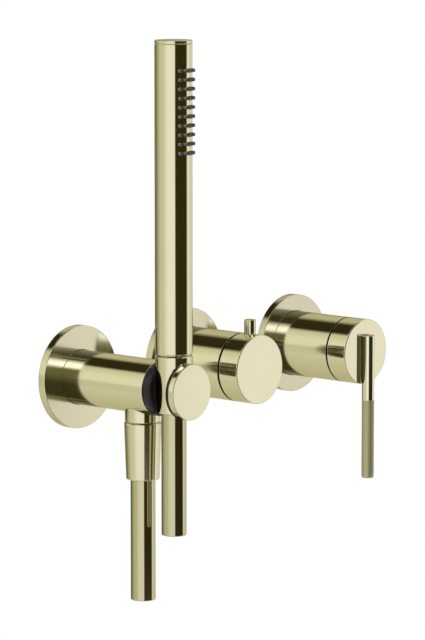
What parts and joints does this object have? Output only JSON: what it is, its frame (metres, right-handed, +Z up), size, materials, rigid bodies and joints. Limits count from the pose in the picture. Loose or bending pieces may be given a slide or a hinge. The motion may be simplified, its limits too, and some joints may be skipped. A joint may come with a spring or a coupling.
{
  "type": "bath shower mixer",
  "caption": "Wall-mounted bath shower mixer with a lever mixer, a diverter knob, and a hose outlet whose side-open cradle holds a stick hand shower.",
  "frame": {"origin": "on the outlet unit's axis, in the wall's plane", "axes": "+Y into the wall along the units' axes, +X along the wall towards the mixer, +Z up"},
  "size_m": [0.29, 0.1233, 0.3754],
  "materials": {
    "champagne_gold": "polished champagne gold plating on brass",
    "plain_brass": "machined brass, unplated",
    "black_plastic": "satin black",
    "white_plastic": "moulded off-white",
    "white_ceramic": "lapped ceramic",
    "black_rubber": "moulded black rubber",
    "grey_silicone": "moulded grey silicone",
    "stainless_steel": "plain stainless steel"
  },
  "bodies": {
    "wall_set": {"check_valve_cage": "white_plastic", "check_valve_spring": "stainless_steel", "cradle": "black_plastic", "cradle_front_cap": "champagne_gold", "cradle_studs": "stainless_steel", "diverter_carrier": "plain_brass", "diverter_carrier_ring": "black_rubber", "diverter_cartridge_housing": "white_plastic", "diverter_escutcheon": "champagne_gold", "diverter_escutcheon_ring": "black_rubber", "diverter_fixed_disc": "white_ceramic", "diverter_glide_ring": "black_plastic", "diverter_port_seals": "black_rubber", "diverter_retaining_nut": "plain_brass", "diverter_trim_sleeve": "champagne_gold", "mixer_carrier": "plain_brass", "mixer_carrier_ring": "black_rubber", "mixer_cartridge_housing": "white_plastic", "mixer_escutcheon": "champagne_gold", "mixer_escutcheon_ring": "black_rubber", "mixer_fixed_disc": "white_ceramic", "mixer_glide_ring": "black_plastic", "mixer_port_seals": "black_rubber", "mixer_retaining_nut": "plain_brass", "mixer_trim_sleeve": "champagne_gold", "outlet_body": "champagne_gold", "outlet_escutcheon": "champagne_gold", "outlet_escutcheon_ring": "black_rubber", "outlet_hose_nut": "champagne_gold", "outlet_hose_washer": "black_rubber", "outlet_neck": "champagne_gold", "outlet_nipple_rings": "black_rubber", "outlet_set_screw": "stainless_steel", "outlet_wall_nipple": "plain_brass"},
    "hand_hose_end": {"handset_hose_sleeve": "champagne_gold", "handset_hose_tail": "plain_brass"},
    "handset": {"handset_tube": "champagne_gold", "handset_end_cap": "champagne_gold", "handset_nozzle_strip": "grey_silicone", "handset_core": "white_plastic", "handset_connector": "champagne_gold", "handset_connector_ring": "black_rubber", "handset_flow_limiter": "white_plastic", "handset_hose_washer": "black_rubber", "handset_hose_nut": "champagne_gold"},
    "outlet_hose_end": {"outlet_hose_sleeve": "champagne_gold", "outlet_hose_tail": "plain_brass"},
    "check_poppet": {"check_valve_poppet": "white_plastic"},
    "diverter_handle": {"diverter_knob": "champagne_gold", "diverter_pin": "champagne_gold", "diverter_stem": "plain_brass", "diverter_moving_disc": "white_ceramic"},
    "mixer_handle": {"mixer_knob": "champagne_gold", "mixer_set_screw": "stainless_steel", "mixer_lever": "champagne_gold", "mixer_lever_screws": "stainless_steel", "mixer_stem": "plain_brass", "mixer_moving_disc": "white_ceramic"}
  },
  "joints": [
    {"name": "mixer_turn", "type": "hinge", "parent": "wall_set", "child": "mixer_handle", "pos_m": [0.22, 0, 0], "axis": [0, -1, 0], "range_deg": [0, 100]},
    {"name": "diverter_turn", "type": "hinge", "parent": "wall_set", "child": "diverter_handle", "pos_m": [0.106, 0, 0], "axis": [0, 1, 0], "range_deg": [0, 90]},
    {"name": "handset_lift", "type": "slide", "parent": "wall_set", "child": "hand_hose_end", "axis": [0, 0, 1], "range_m": [0, 0.12]},
    {"name": "handset_turn", "type": "hinge", "parent": "hand_hose_end", "child": "handset", "pos_m": [0, -0.0912, 0], "axis": [0, 0, 1], "continuous": true},
    {"name": "outlet_hose_turn", "type": "hinge", "parent": "wall_set", "child": "outlet_hose_end", "pos_m": [0, -0.0629, 0], "axis": [0, 0, 1], "continuous": true},
    {"name": "check_valve_lift", "type": "slide", "parent": "wall_set", "child": "check_poppet", "axis": [0, 0, -1], "range_m": [0, 0.002], "stiffness_N_per_m": 100, "springref_m": -0.003, "deforming": ["check_valve_spring"]}
  ]
}
